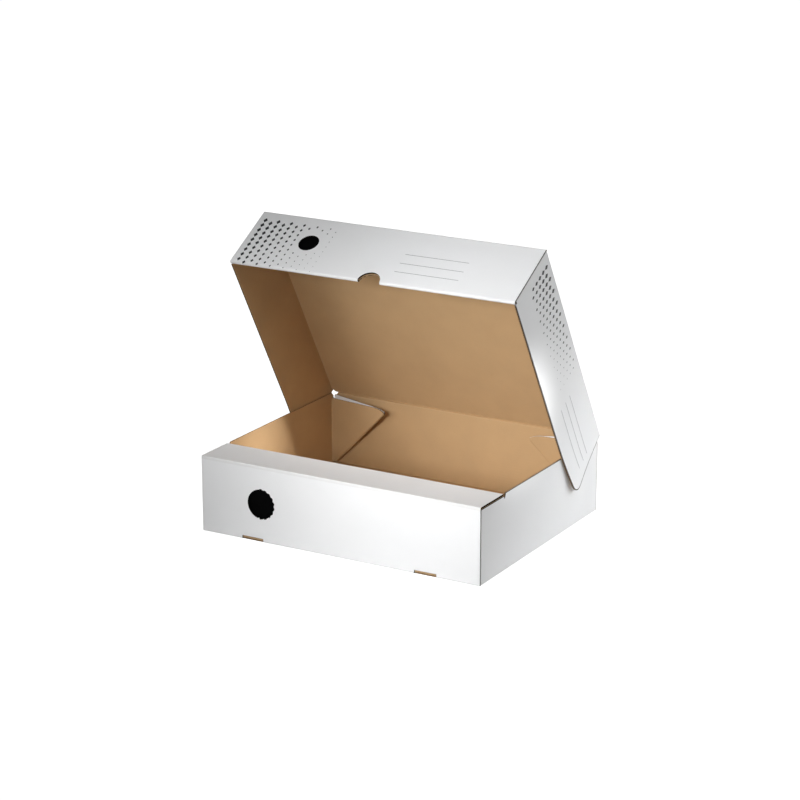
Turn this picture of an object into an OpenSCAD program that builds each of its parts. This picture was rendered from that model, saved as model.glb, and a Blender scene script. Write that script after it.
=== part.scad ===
// Archive box of folded corrugated board: a low tray with a hinged overlapping lid.
// Millimetres. +X runs along the box's length, the front faces -Y and +Z is up.
// The origin is the middle of the tray's underside. The lid stands open by lid_open.

/* [Tray] */
// Length of the tray over its side walls
box_l = 350; // [240:1:450]
// Depth of the tray from front face to back face
box_w = 280; // [200:1:360]
// Height of the tray's walls
box_h = 88; // [60:1:120]

/* [Board] */
// Thickness of the corrugated board
board = 1.6; // [1.2:0.1:2.4]
// Outer radius of a creased fold, no more than the board
crease_r = 1.2; // [0.4:0.1:1.2]
// Running gap between sheets that swing past each other
fold_gap = 0.3; // [0.2:0.05:0.5]
// Side clearance of a flap that swings between two walls
side_clear = 0.6; // [0.3:0.1:1.5]

/* [Hollow front] */
// Depth of the fixed strip along the top of the front
strip_d = 52; // [36:1:70]
// Gap between the strip and the lowered side walls under it
strip_gap = 1.2; // [0.5:0.1:2.5]
// Depth of the V notch in a side wall at the strip's rear end
notch_deep = 5.5; // [4:0.5:9]
// Width of that V notch at the rim
notch_wide = 4; // [2:0.5:7]
// Length of the corner flaps behind the front wall
front_flap_l = 104; // [97:1:130]
// Radius of a corner flap's free corners
flap_corner_r = 8; // [2:1:14]
// Gap between the corner flaps and the foot that slides under them
flap_lift = 1.2; // [0.6:0.1:3]
// Width of each lock tab
tab_w = 26; // [16:1:36]
// Distance of a lock tab's middle from the tray's side
tab_in = 66; // [50:1:90]
// Gap at each end of a lock tab in its slot
slot_end_gap = 0.6; // [0.3:0.1:1.5]
// Gap above a lock tab in its slot
slot_top_gap = 0.7; // [0.3:0.1:1.5]
// Depth by which a tab's tip stays behind the front face
tab_recess = 0.2; // [0:0.1:0.6]

/* [Finger hole in the tray] */
// Diameter of the finger hole in the front wall
hole_d = 34; // [22:0.5:36]
// Distance of the hole's middle from the tray's left side
hole_in = 77; // [60:1:90]
// Height of the hole's middle above the table
hole_up = 44; // [34:1:54]
// Diameter of one scallop along the hole's right half
scallop_d = 5.2; // [3:0.1:7]
// Angle from one scallop to the next
scallop_step = 20; // [18:1:36]
// Extra radius of the hole in the corner flap behind
flap_hole_extra = 1.5; // [1:0.5:4]

/* [Rear corner webs] */
// Distance of the inner web's top edge below the rim
web_drop = 6.5; // [4:0.5:12]
// Distance of the outer web's highest point below the rim
web_peak_drop = 1.8; // [1:0.1:3.5]
// Angle at which a web stands off the back wall
web_lean = 8; // [7:0.5:14]
// Gap between a web's two layers
web_gap = 0.8; // [0.4:0.1:2]
// Length of the curve at the end of a web's top edge
web_curve_l = 19; // [10:1:30]
// Radius of that curve
web_curve_r = 33; // [30:1:50]
// Side of the relief cut in the back wall's upper corners
relief = 7; // [4:0.5:10]
// Chamfer of a side wall's upper rear corner
wall_chamfer = 4; // [2:0.5:6]

/* [Lid] */
// Opening angle of the lid, counted from closed
lid_open = 60; // [0:1:180]
// Clearance between the closed lid's skirts and the tray
lid_clear = 0.5; // [0.3:0.1:1.5]
// Depth of the lid over its skirts
skirt_h = 83.5; // [58:0.5:86]
// Length of the corner flaps inside the lid's front skirt
lid_flap_l = 58; // [40:1:60]
// Height by which those corner flaps stay above the rolled edge
lid_flap_up = 5; // [3:0.5:10]
// Distance by which a side skirt runs past the hinge at its lower rear corner
skirt_tail = 11; // [4:0.5:16]
// Radius of a side skirt's lower rear corner
skirt_tail_r = 12; // [6:1:20]
// Gap between a side skirt and the hinge at the top
skirt_start = 1.5; // [1:0.5:4]
// Relief cut in the lid panel's rear corners
panel_relief = 4; // [2:0.5:8]
// Diameter of the finger hole in the lid's front skirt
lid_hole_d = 24; // [16:0.5:30]
// Distance of the lid hole's middle below the lid's top face
lid_hole_down = 39.5; // [30:0.5:50]
// Diameter of the thumb notch in the lid's front edge
thumb_d = 27; // [18:1:40]

/* [Hidden] */

white_board = [0.93, 0.94, 0.95];
kraft_board = [0.72, 0.55, 0.38];

// Margin by which a cutter runs past what it cuts
over = 1;
// Facets of a bored hole and of a fold
hole_fn = 96;
fold_fn = 32;
// Steps of a rounded corner in an outline
corner_steps = 8;

half_l = box_l / 2;
half_w = box_w / 2;
strip_rear = strip_d - half_w;
strip_under = box_h - board;
lowered_rim = strip_under - strip_gap;
wall_front = board + fold_gap - half_w;
wall_rear = half_w - board - fold_gap;
foot_bottom = board + fold_gap;
foot_top = foot_bottom + board;
flap_bottom = foot_top + flap_lift;
slot_top = foot_top + slot_top_gap;
cover_half_l = half_l - board - side_clear;

// Places on the lid, counted from the hinge line with the lid closed
lid_inner_half = half_l + lid_clear;
lid_outer_half = lid_inner_half + board;
panel_under = fold_gap;
panel_top = panel_under + board;
skirt_back = -(box_w + lid_clear);
inner_face = skirt_back - board;
flap_face = inner_face - board;
outer_face = flap_face - board;
roll_r = 1.5 * board;
roll_mid = panel_top - skirt_h + roll_r;

// Places on a rear web, counted from its hinge line
web_bottom = board + flap_lift;
web_top = box_h - web_drop;
web_peak = box_h - web_peak_drop;
web_outer_face = board + web_gap;
web_thick = web_outer_face + board;
web_curve_start = web_top - web_curve_l;
web_outer_root = 2;
web_hinge_x = half_l - board - fold_gap;
web_hinge_y = half_w - board - fold_gap - web_thick;

function unit(v) = v / norm(v);

// Points of an arc of radius r that rounds the corner p between the points a and b
function corner_arc(a, p, b, r) =
    let (
        to_a = unit(a - p),
        to_b = unit(b - p),
        half = acos(to_a * to_b) / 2,
        mid = p + unit(to_a + to_b) * r / sin(half),
        first = p + to_a * r / tan(half) - mid,
        last = p + to_b * r / tan(half) - mid,
        from = atan2(first.y, first.x),
        sweep = (atan2(last.y, last.x) - from + 540) % 360 - 180
    )
    [for (i = [0 : corner_steps]) mid + r * [cos(from + sweep * i / corner_steps), sin(from + sweep * i / corner_steps)]];

// An outline whose corners are rounded by the radii beside them, 0 for a sharp one
function rounded(points, radii) =
    let (n = len(points))
    [for (i = [0 : n - 1])
        each radii[i] > 0
            ? corner_arc(points[(i + n - 1) % n], points[i], points[(i + 1) % n], radii[i])
            : [points[i]]];

// Lays an outline drawn in X and Z as a sheet whose front face is at y
module sheet_xz(y) {
    translate([0, y + board, 0])
        rotate([90, 0, 0])
            linear_extrude(height = board) children();
}

// Lays an outline drawn in Y and Z as a sheet whose left face is at x
module sheet_yz(x) {
    translate([x, 0, 0])
        rotate([90, 0, 90])
            linear_extrude(height = board) children();
}

// Takes the sharp corner off a fold that runs along +X for a length, inside towards +Y and +Z
module crease_cut(length) {
    translate([-over, 0, 0])
        rotate([90, 0, 90])
            linear_extrude(height = length + 2 * over) difference() {
                translate([-over, -over]) square(crease_r + over);
                translate([crease_r, crease_r]) circle(r = crease_r, $fn = fold_fn);
            }
}

// The same for a fold that stands up along +Z, inside towards +X and +Y
module upright_crease_cut(height) {
    translate([0, 0, -over])
        linear_extrude(height = height + 2 * over) difference() {
            translate([-over, -over]) square(crease_r + over);
            translate([crease_r, crease_r]) circle(r = crease_r, $fn = fold_fn);
        }
}

module tray_floor() {
    color(white_board)
        translate([board - half_l, board - half_w, 0])
            cube([box_l - 2 * board, box_w - 2 * board, board]);
}

// Finger hole with a scalloped right half, about its own middle
module finger_hole() {
    circle(d = hole_d, $fn = hole_fn);
    for (turn = [-90 : scallop_step : 90])
        rotate(turn)
            translate([hole_d / 2 - scallop_d / 3, 0]) circle(d = scallop_d, $fn = fold_fn);
}

module tray_front_wall() {
    color(white_board) difference() {
        sheet_xz(-half_w) difference() {
            translate([-half_l, 0]) square([box_l, strip_under - fold_gap]);
            translate([hole_in - half_l, hole_up]) finger_hole();
            for (side = [-1, 1])
                translate([side * (half_l - tab_in) - tab_w / 2 - slot_end_gap, -over])
                    square([tab_w + 2 * slot_end_gap, slot_top + over]);
        }
        translate([-half_l, -half_w, 0]) crease_cut(box_l);
    }
}

module tray_back_wall() {
    top = box_h - fold_gap;
    color(white_board) difference() {
        sheet_xz(half_w - board) polygon([
            [-half_l, 0], [half_l, 0],
            [half_l, top - relief], [half_l - relief / 2, top - relief], [half_l - relief, top],
            [relief - half_l, top], [relief / 2 - half_l, top - relief], [-half_l, top - relief]
        ]);
        mirror([0, 1, 0]) translate([-half_l, -half_w, 0]) crease_cut(box_l);
        for (side = [0, 1])
            mirror([side, 0, 0])
                mirror([0, 1, 0]) translate([-half_l, -half_w, 0]) upright_crease_cut(box_h);
    }
}

// A side wall, drawn on the left: lowered under the strip, with a V notch where the strip ends
module side_wall() {
    difference() {
        sheet_yz(-half_l) polygon([
            [wall_front, 0], [wall_rear, 0],
            [wall_rear, box_h - wall_chamfer], [wall_rear - wall_chamfer, box_h],
            [strip_rear + fold_gap + notch_wide, box_h],
            [strip_rear + fold_gap + notch_wide / 2, box_h - notch_deep],
            [strip_rear + fold_gap, lowered_rim],
            [wall_front, lowered_rim]
        ]);
        mirror([-1, 1, 0]) translate([-half_w, -half_l, 0]) crease_cut(box_w);
        translate([-half_l, wall_front, 0]) upright_crease_cut(box_h);
    }
}

module tray_left_wall() {
    color(white_board) side_wall();
}

module tray_right_wall() {
    color(white_board) mirror([1, 0, 0]) side_wall();
}

// A corner flap behind the front wall, drawn on the left
module front_corner_flap() {
    top = lowered_rim - fold_gap;
    free_end = front_flap_l - half_l;
    root = board - half_l;
    polygon(rounded(
        [[root, flap_bottom], [free_end, flap_bottom], [free_end, top], [root, top]],
        [0, flap_corner_r, flap_corner_r, 0]
    ));
}

module front_left_corner_flap() {
    color(kraft_board) sheet_xz(wall_front) difference() {
        front_corner_flap();
        translate([hole_in - half_l, hole_up])
            circle(r = hole_d / 2 + flap_hole_extra, $fn = hole_fn);
    }
}

module front_right_corner_flap() {
    color(kraft_board) mirror([1, 0, 0]) sheet_xz(wall_front) front_corner_flap();
}

module front_top_strip() {
    color(white_board) difference() {
        translate([-half_l, -half_w, strip_under]) cube([box_l, strip_d, board]);
        mirror([0, 0, 1]) translate([-half_l, -half_w, -box_h]) crease_cut(box_l);
        mirror([0, 1, 0]) mirror([0, 0, 1]) translate([-half_l, -strip_rear, -box_h]) crease_cut(box_l);
    }
}

module front_inner_wall() {
    color(kraft_board)
        translate([-cover_half_l, strip_rear - board, foot_bottom])
            cube([2 * cover_half_l, board, strip_under - foot_bottom]);
}

module front_foot_flap() {
    rear = strip_rear - board;
    front = wall_front;
    color(kraft_board) union() {
        translate([-cover_half_l, front, foot_bottom])
            cube([2 * cover_half_l, rear - front, board]);
        for (side = [-1, 1])
            translate([side * (half_l - tab_in) - tab_w / 2, tab_recess - half_w, foot_bottom])
                cube([tab_w, front + half_w - tab_recess + over, board]);
    }
}

// Where the curve at the end of a web's top edge meets the 45 degree fold
function web_tip() =
    let (
        mid_x = web_curve_start,
        mid_z = web_top - web_curve_r,
        b = mid_x + mid_z,
        c = mid_x * mid_x + mid_z * mid_z - web_curve_r * web_curve_r
    )
    (b + sqrt(b * b - 2 * c)) / 2;

function web_curve() =
    let (
        mid = [web_curve_start, web_top - web_curve_r],
        last = acos((web_tip() - mid.x) / web_curve_r)
    )
    [for (i = [0 : corner_steps])
        mid + web_curve_r * [cos(last + (90 - last) * i / corner_steps), sin(last + (90 - last) * i / corner_steps)]];

// Puts a piece drawn about the web's hinge line at the left rear corner
module at_left_web() {
    translate([-web_hinge_x, web_hinge_y, 0]) rotate([0, 0, -web_lean]) children();
}

module web_inner() {
    sheet_xz(0) polygon(concat([[fold_gap, web_bottom], [web_bottom, web_bottom]], web_curve(), [[fold_gap, web_top]]));
}

// The outer layer carries the round 45 degree fold that joins it to the inner one
module web_outer() {
    fold_r = web_thick / 2;
    fold_start = web_bottom * sqrt(2) + fold_r;
    fold_end = web_tip() * sqrt(2) - fold_r / 2;
    sheet_xz(web_outer_face)
        polygon(concat([[web_outer_root, web_bottom], [web_bottom, web_bottom]], web_curve(), [[web_outer_root, web_peak]]));
    rotate([0, 45, 0])
        translate([0, fold_r, fold_start])
            linear_extrude(height = fold_end - fold_start) intersection() {
                difference() {
                    circle(r = fold_r, $fn = fold_fn);
                    circle(r = web_gap / 2, $fn = fold_fn);
                }
                translate([0, -fold_r]) square([fold_r, web_thick]);
            }
}

module rear_left_web_inner() {
    color(kraft_board) at_left_web() web_inner();
}

module rear_left_web_outer() {
    color(white_board) at_left_web() web_outer();
}

module rear_right_web_inner() {
    color(kraft_board) mirror([1, 0, 0]) at_left_web() web_inner();
}

module rear_right_web_outer() {
    color(white_board) mirror([1, 0, 0]) at_left_web() web_outer();
}

// Turns a piece of the lid, drawn closed about the hinge line, to where it stands
module at_hinge() {
    translate([0, half_w, box_h]) rotate([-lid_open, 0, 0]) children();
}

module lid_top_panel() {
    color(kraft_board) at_hinge()
        translate([0, 0, panel_under])
            linear_extrude(height = board) polygon([
                [-lid_inner_half, flap_face], [lid_inner_half, flap_face],
                [lid_inner_half, -fold_gap - panel_relief], [lid_inner_half - panel_relief, -fold_gap],
                [panel_relief - lid_inner_half, -fold_gap], [-lid_inner_half, -fold_gap - panel_relief]
            ]);
}

// The lid's finger hole and thumb notch, as cutters through all layers of the front skirt
module lid_front_cuts() {
    depth = 3 * board + 2 * over;
    translate([hole_in - half_l, skirt_back + over, panel_top - lid_hole_down])
        rotate([90, 0, 0]) cylinder(h = depth, d = lid_hole_d, $fn = hole_fn);
    translate([0, skirt_back + over, roll_mid - roll_r])
        rotate([90, 0, 0]) cylinder(h = depth, d = thumb_d, $fn = hole_fn);
}

module lid_front_skirt() {
    color(white_board) at_hinge() difference() {
        union() {
            translate([0, 0, roll_mid])
                sheet_xz(outer_face) translate([-lid_outer_half, 0])
                    square([2 * lid_outer_half, panel_top - roll_mid]);
            translate([-lid_outer_half, skirt_back - roll_r, roll_mid])
                rotate([90, 0, 90])
                    linear_extrude(height = 2 * lid_outer_half) intersection() {
                        difference() {
                            circle(r = roll_r, $fn = fold_fn);
                            circle(r = roll_r - board, $fn = fold_fn);
                        }
                        translate([-roll_r, -roll_r]) square([2 * roll_r, roll_r]);
                    }
        }
        mirror([0, 0, 1]) translate([-lid_outer_half, outer_face, -panel_top]) crease_cut(2 * lid_outer_half);
        lid_front_cuts();
    }
}

module lid_front_inner_skirt() {
    reach = lid_inner_half - fold_gap;
    color(white_board) at_hinge() difference() {
        translate([0, 0, roll_mid])
            sheet_xz(inner_face) translate([-reach, 0]) square([2 * reach, panel_under - roll_mid]);
        lid_front_cuts();
    }
}

// A side skirt, drawn on the left: relieved round the rolled edge at its lower front corner.
// Its rear edge slants past the hinge and ends in a round corner.
module lid_side_skirt() {
    bottom = panel_top - skirt_h;
    roll_over = roll_mid + fold_gap;
    roll_behind = skirt_back + fold_gap;
    difference() {
        sheet_yz(-lid_outer_half) polygon(rounded(
            [
                [flap_face, panel_top], [flap_face, roll_over], [roll_behind, roll_over], [roll_behind, bottom],
                [skirt_tail, bottom], [-skirt_start, panel_top]
            ],
            [0, 0, 0, 0, skirt_tail_r, 0]
        ));
        mirror([-1, 1, 0]) mirror([0, 0, 1])
            translate([flap_face, -lid_outer_half, -panel_top]) crease_cut(skirt_tail - flap_face);
        translate([-lid_outer_half, flap_face, bottom]) upright_crease_cut(skirt_h);
    }
}

module lid_left_skirt() {
    color(white_board) at_hinge() lid_side_skirt();
}

module lid_right_skirt() {
    color(white_board) at_hinge() mirror([1, 0, 0]) lid_side_skirt();
}

// A corner flap between the two layers of the front skirt, drawn on the left
module lid_corner_flap() {
    bottom = roll_mid + lid_flap_up;
    root = -lid_inner_half;
    sheet_xz(flap_face) polygon(rounded(
        [[root, bottom], [root + lid_flap_l, bottom], [root + lid_flap_l, panel_under], [root, panel_under]],
        [0, flap_corner_r, flap_corner_r, 0]
    ));
}

module lid_left_corner_flap() {
    color(kraft_board) at_hinge() lid_corner_flap();
}

module lid_right_corner_flap() {
    color(kraft_board) at_hinge() mirror([1, 0, 0]) lid_corner_flap();
}

tray_floor();
tray_front_wall();
tray_back_wall();
tray_left_wall();
tray_right_wall();
front_left_corner_flap();
front_right_corner_flap();
front_top_strip();
front_inner_wall();
front_foot_flap();
rear_left_web_inner();
rear_left_web_outer();
rear_right_web_inner();
rear_right_web_outer();
lid_top_panel();
lid_front_skirt();
lid_front_inner_skirt();
lid_left_skirt();
lid_right_skirt();
lid_left_corner_flap();
lid_right_corner_flap();
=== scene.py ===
"""Looks of a folded archive box of white-lined corrugated board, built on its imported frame.

Every panel is dressed as the board it is cut from: a white liner, a kraft liner and the fluted
medium between them, with soft creases where panels meet and printed ink on the lid.
"""

import logging
import math
from dataclasses import dataclass, field
from enum import Enum, IntEnum
from typing import Callable, Iterable, Mapping, Sequence

import bmesh
import bpy
import numpy as np
from mathutils import Matrix, Vector


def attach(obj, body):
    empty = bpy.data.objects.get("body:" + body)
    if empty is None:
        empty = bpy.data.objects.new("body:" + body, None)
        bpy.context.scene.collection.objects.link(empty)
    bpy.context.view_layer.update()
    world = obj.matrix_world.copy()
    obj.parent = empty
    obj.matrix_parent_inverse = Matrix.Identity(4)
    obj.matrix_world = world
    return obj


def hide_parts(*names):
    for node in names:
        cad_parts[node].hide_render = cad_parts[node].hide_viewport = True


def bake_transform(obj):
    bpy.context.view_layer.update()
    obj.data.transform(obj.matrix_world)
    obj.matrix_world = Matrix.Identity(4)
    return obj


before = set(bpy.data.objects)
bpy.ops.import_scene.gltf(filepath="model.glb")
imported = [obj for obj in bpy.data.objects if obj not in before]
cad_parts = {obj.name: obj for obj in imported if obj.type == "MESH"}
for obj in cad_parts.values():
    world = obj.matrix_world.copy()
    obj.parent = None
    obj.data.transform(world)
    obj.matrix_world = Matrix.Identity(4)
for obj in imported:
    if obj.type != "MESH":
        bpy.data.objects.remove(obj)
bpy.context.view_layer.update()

log = logging.getLogger("archive_box")
MM = 0.001
WHITE_SLOT = "white_lined_board"
KRAFT_SLOT = "kraft_lined_board"
SHADER_TREE, GEOMETRY_TREE = "ShaderNodeTree", "GeometryNodeTree"
FLOAT, VECTOR, INTEGER = "NodeSocketFloat", "NodeSocketVector", "NodeSocketInt"
GEOMETRY, MATERIAL = "NodeSocketGeometry", "NodeSocketMaterial"

# Points nearer than this are one, a point this near a cut lies on it, and normals whose cosine
# is above this belong to one plane.
ONE_POINT = 0.002 * MM
ON_CUT = 0.0005 * MM
ONE_PLANE = 0.9999

Pair = tuple[float, float]
Triple = tuple[float, float, float]
Quad = tuple[float, float, float, float]
Plane = tuple[Vector, float]
Node = bpy.types.Node
NodeTree = bpy.types.NodeTree
Socket = bpy.types.NodeSocket
Sockets = Mapping[str, Socket]
Material = bpy.types.Material
Mesh = bpy.types.Mesh
Object = bpy.types.Object
MeshWork = bmesh.types.BMesh


# ---------------------------------------------------------------- node helpers

class Tree:
    """A node tree under construction, shader or geometry, with short calls for its nodes and links."""

    def __init__(self, tree: NodeTree) -> None:
        """Keeps the tree that the calls add to."""
        self.tree = tree

    def node(self, kind: str, **values: object) -> Node:
        """Adds a node.

        Args:
            kind: the node's type name.
            values: properties of the node, or socket values under the socket's name with _ for a space.

        Returns:
            The new node.
        """
        made = self.tree.nodes.new(kind)
        sockets = {s.name.replace(" ", "_"): s for s in reversed(made.inputs)}
        for name, value in values.items():
            if hasattr(made, name):
                setattr(made, name, value)
            else:
                self.feed(sockets[name], value)
        return made

    def feed(self, socket: Socket, value: object) -> None:
        """Gives an input what it takes.

        Args:
            socket: the input.
            value: another node's output, or a plain value.
        """
        if isinstance(value, Socket):
            self.tree.links.new(value, socket)
        else:
            socket.default_value = value

    def link(self, source: Socket, target: Socket) -> None:
        """Links an output to an input."""
        self.tree.links.new(source, target)

    def _filled(self, kind: str, values: Iterable[object], **settings: object) -> Socket:
        """Adds a node and fills its inputs in order.

        Args:
            kind: the node's type name.
            values: what the inputs take, outputs or plain values.
            settings: properties of the node.

        Returns:
            The node's first output.
        """
        made = self.node(kind, **settings)
        for socket, value in zip(made.inputs, values):
            self.feed(socket, value)
        return made.outputs[0]

    def math(self, operation: str, *values: object) -> Socket:
        """Returns the result of a math operation on outputs and numbers."""
        return self._filled("ShaderNodeMath", values, operation=operation)

    def vector(self, operation: str, *values: object) -> Socket:
        """Returns the result of a vector operation on outputs and tuples."""
        return self._filled("ShaderNodeVectorMath", values, operation=operation)

    def scaled(self, vector: object, share: object) -> Socket:
        """Returns a vector, or a colour's three shares, times a number.

        Args:
            vector: an output or a tuple.
            share: an output or a number.

        Returns:
            The product.
        """
        result = self.vector("SCALE", vector)
        self.feed(result.node.inputs["Scale"], share)
        return result

    def split(self, vector: Socket) -> tuple[Socket, ...]:
        """Returns the X, Y and Z of a vector."""
        return tuple(self.node("ShaderNodeSeparateXYZ", Vector=vector).outputs)

    def join(self, *values: object) -> Socket:
        """Returns the vector of three outputs or numbers."""
        return self._filled("ShaderNodeCombineXYZ", values)

    def ramp(self, value: Socket, low: object, high: object, start: float = 0.0, end: float = 1.0) -> Socket:
        """Returns a value mapped smoothly from low..high to start..end."""
        return self._filled("ShaderNodeMapRange", (value, low, high, start, end),
                            interpolation_type="SMOOTHSTEP")

    def noise(self, place: Socket, scale: object, detail: float, roughness: float = 0.5) -> Socket:
        """Returns noise from 0 to 1 at a place."""
        return self.node("ShaderNodeTexNoise", Vector=place, Scale=scale, Detail=detail,
                         Roughness=roughness).outputs[0]

    def turn(self, across: Socket, pitch: Socket) -> Socket:
        """Returns how far, in radians, a wave of a pitch has turned at a distance."""
        return self.math("DIVIDE", self.math("MULTIPLY", across, 2.0 * math.pi), pitch)

    def mix(self, factor: Socket, first: object, second: object) -> Socket:
        """Mixes two colours.

        Args:
            factor: 0 for the first colour and 1 for the second.
            first: an output or a colour.
            second: another.

        Returns:
            The mixed colour.
        """
        made = self.node("ShaderNodeMix", data_type="RGBA")
        for index, value in ((0, factor), (6, first), (7, second)):
            self.feed(made.inputs[index], value)
        return made.outputs[2]

    def bump(self, height: Socket, shader: Node) -> None:
        """Gives a shader the normals of a height in metres."""
        made = self.node("ShaderNodeBump", Strength=1.0, Distance=1.0, Height=height)
        self.link(made.outputs[0], shader.inputs["Normal"])

    def seal(self, geometry: Socket, material: Socket, target: Socket) -> None:
        """Ends a Geometry Nodes tree with real faces of one material.

        Args:
            geometry: what the tree has made.
            material: its material.
            target: the tree's output.
        """
        real = self.node("GeometryNodeRealizeInstances", Geometry=geometry)
        done = self.node("GeometryNodeSetMaterial", Geometry=real.outputs[0], Material=material)
        self.link(done.outputs[0], target)


def new_group(name: str, kind: str, inputs: dict[str, tuple[str, object]],
              outputs: dict[str, str]) -> tuple[Tree, Sockets, Sockets]:
    """Starts a node group with named sockets.

    Args:
        name: the group's name.
        kind: SHADER_TREE or GEOMETRY_TREE.
        inputs: each input's socket type and default.
        outputs: each output's socket type.

    Returns:
        The tree, what it is given and what it puts out, by name.
    """
    group = bpy.data.node_groups.new(name, kind)
    for label, (socket, default) in inputs.items():
        made = group.interface.new_socket(label, in_out="INPUT", socket_type=socket)
        if default is not None:
            made.default_value = default
    for label, socket in outputs.items():
        group.interface.new_socket(label, in_out="OUTPUT", socket_type=socket)
    tree = Tree(group)
    return tree, tree.node("NodeGroupInput").outputs, tree.node("NodeGroupOutput").inputs


def placed(tree: Tree, group: NodeTree, **values: object) -> Sockets:
    """Places a shader group in a material.

    Args:
        tree: the material's tree.
        group: the group.
        values: its inputs by name, outputs or plain values.

    Returns:
        The group's outputs by name.
    """
    made = tree.tree.nodes.new("ShaderNodeGroup")
    made.node_tree = group
    for name, value in values.items():
        tree.feed(made.inputs[name], value)
    return made.outputs


def uv_map(tree: Tree, name: str) -> Socket:
    """Returns the vector of one of the piece's UV maps."""
    return tree.node("ShaderNodeUVMap", uv_map=name).outputs[0]


def new_material(name: str) -> tuple[Material, Tree, Node]:
    """Starts a material.

    Args:
        name: its name.

    Returns:
        The material, its tree and its shader.
    """
    material = bpy.data.materials.new(name)
    material.use_nodes = True
    return material, Tree(material.node_tree), material.node_tree.nodes["Principled BSDF"]


# ------------------------------------------------------- effects that finishes share

class Effects:
    """Shader groups that more than one finish uses, each built once."""

    CLOUD_SCALE = 26.0
    DRIFT_SCALE = 9.0
    DRIFT_TURN = 1.2
    RIDGE_RANGE = (0.35, 0.7)
    FAINT_RIDGE = 0.35
    RUB_SCALE = 160.0

    def __init__(self) -> None:
        """Builds the groups."""
        self.fibre = self._fibre()
        self.washboard = self._washboard()
        self.wear = self._wear()

    def _fibre(self) -> NodeTree:
        """Makes paper fibres, drawn out along X: a tone about 1, their height, and slow clouds.

        Returns:
            The group.
        """
        tree, given, out = new_group(
            "paper_fibre", SHADER_TREE,
            {"Place": (VECTOR, None), "Scale": (FLOAT, 900.0), "Stretch": (FLOAT, 3.0),
             "Depth": (FLOAT, 0.05)},
            {"Tone": FLOAT, "Height": FLOAT, "Cloud": FLOAT})
        x, y, z = tree.split(given["Place"])
        drawn = tree.join(x, tree.math("MULTIPLY", y, given["Stretch"]), z)
        fine = tree.noise(drawn, given["Scale"], detail=4.0, roughness=0.62)
        cloud = tree.noise(given["Place"], self.CLOUD_SCALE, detail=3.0, roughness=0.55)
        swing, slow = (tree.math("MULTIPLY", tree.math("SUBTRACT", noise, 0.5), given["Depth"])
                       for noise in (fine, cloud))
        tree.link(tree.math("ADD", tree.math("ADD", 1.0, swing), slow), out["Tone"])
        tree.link(fine, out["Height"])
        tree.link(cloud, out["Cloud"])
        return tree.tree

    def _washboard(self) -> NodeTree:
        """Makes the flutes as they show through a liner: low ridges across Y, fainter in some places.

        Returns:
            The group.
        """
        tree, given, out = new_group(
            "washboard", SHADER_TREE,
            {"Place": (VECTOR, None), "Pitch": (FLOAT, 3.4 * MM)}, {"Height": FLOAT})
        drift = tree.noise(given["Place"], self.DRIFT_SCALE, detail=1.0)
        turn = tree.turn(tree.split(given["Place"])[1], given["Pitch"])
        wave = tree.math("SINE", tree.math("ADD", turn, tree.math("MULTIPLY", drift, self.DRIFT_TURN)))
        share = tree.ramp(drift, *self.RIDGE_RANGE, self.FAINT_RIDGE, 1.0)
        tree.link(tree.math("MULTIPLY", wave, share), out["Height"])
        return tree.tree

    def _wear(self) -> NodeTree:
        """Makes a mask of rubbed board along a panel's edges, broken up by noise.

        Returns:
            The group.
        """
        tree, given, out = new_group(
            "edge_wear", SHADER_TREE,
            {"Place": (VECTOR, None), "Sides": (VECTOR, None), "Ends": (VECTOR, None),
             "Reach": (FLOAT, 2.5 * MM)},
            {"Mask": FLOAT})
        sides, ends = (tree.math("MINIMUM", *tree.split(given[name])[:2]) for name in ("Sides", "Ends"))
        rough = tree.noise(given["Place"], self.RUB_SCALE, detail=4.0, roughness=0.7)
        reach = tree.math("MULTIPLY", given["Reach"], tree.math("MULTIPLY", rough, 2.0))
        near = tree.math("DIVIDE", tree.math("MINIMUM", sides, ends), reach)
        clear = tree.node("ShaderNodeClamp", Value=tree.math("SUBTRACT", 1.0, near))
        tree.link(clear.outputs[0], out["Mask"])
        return tree.tree


@dataclass(frozen=True)
class LinerFinish:
    """Paper on one face of the board, or its cut medium.

    colour and worn are the paper's colour and that of its rubbed edges, fleck is how much darker
    its specks are, and ridge and grain are the heights in metres of its flutes and fibres.
    """
    name: str
    colour: Quad
    worn: Quad
    roughness: float
    sheen_level: float
    fibre_scale: float
    fibre_depth: float
    fleck: float
    ridge: float
    grain: float
    wear: float
    speck_scale: float = 1500.0
    speck_range: Pair = (0.66, 0.74)
    cloudiness: float = 0.12

    def build(self, effects: Effects) -> Material:
        """Makes the material.

        Args:
            effects: the shared shader groups.

        Returns:
            The finished material.
        """
        material, tree, shader = new_material(self.name)
        place = uv_map(tree, "board")
        fibre = placed(tree, effects.fibre, Place=place, Scale=self.fibre_scale, Depth=self.fibre_depth)
        board = placed(tree, effects.washboard, Place=place)
        worn = placed(tree, effects.wear, Place=place, Sides=uv_map(tree, "sides"), Ends=uv_map(tree, "ends"))
        speck = tree.noise(place, self.speck_scale, detail=2.0)
        dark = tree.ramp(speck, *self.speck_range, 0.0, self.fleck)
        tone = tree.math("MULTIPLY", fibre["Tone"], tree.math("SUBTRACT", 1.0, dark))
        rubbed = tree.math("MULTIPLY", worn["Mask"], self.wear)
        tree.link(tree.mix(rubbed, tree.scaled(self.colour[:3], tone), self.worn), shader.inputs["Base Color"])
        cloud = tree.math("SUBTRACT", fibre["Cloud"], 0.5)
        tree.link(tree.math("ADD", self.roughness, tree.math("MULTIPLY", cloud, self.cloudiness)),
                  shader.inputs["Roughness"])
        shader.inputs["Specular IOR Level"].default_value = self.sheen_level
        tree.bump(tree.math("ADD", tree.math("MULTIPLY", board["Height"], self.ridge),
                            tree.math("MULTIPLY", fibre["Height"], self.grain)), shader)
        return material


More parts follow.
